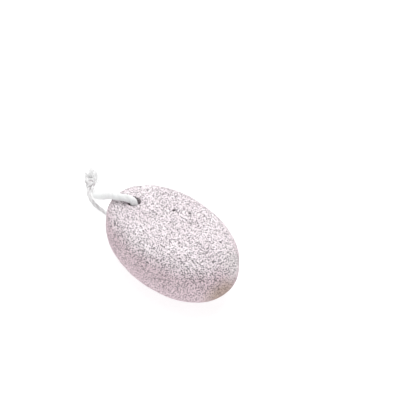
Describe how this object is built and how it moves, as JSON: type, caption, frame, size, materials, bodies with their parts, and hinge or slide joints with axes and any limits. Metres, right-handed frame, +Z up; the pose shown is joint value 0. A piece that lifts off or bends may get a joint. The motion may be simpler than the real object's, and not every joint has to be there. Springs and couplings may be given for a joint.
{
  "type": "pumice stone",
  "caption": "Oval pumice stone for rubbing skin, flat-topped with rounded edges and a hole near one end that holds a knotted loop of soft white cotton cord.",
  "frame": {"origin": "bottom of the stone, under the middle of its length and width, on the flat spot that it rests on", "axes": "+X along the stone's length, away from the hole; +Y across its width; +Z up, through its thickness"},
  "size_m": [0.1566, 0.062, 0.0449],
  "materials": {
    "pumice": "matte, porous",
    "cotton_cord": "matte, soft"
  },
  "bodies": {
    "root": {"pumice_stone": "pumice", "cord_loop": "cotton_cord", "cord_knot": "cotton_cord", "cord_end_thin": "cotton_cord", "cord_end_full": "cotton_cord"}
  },
  "joints": []
}
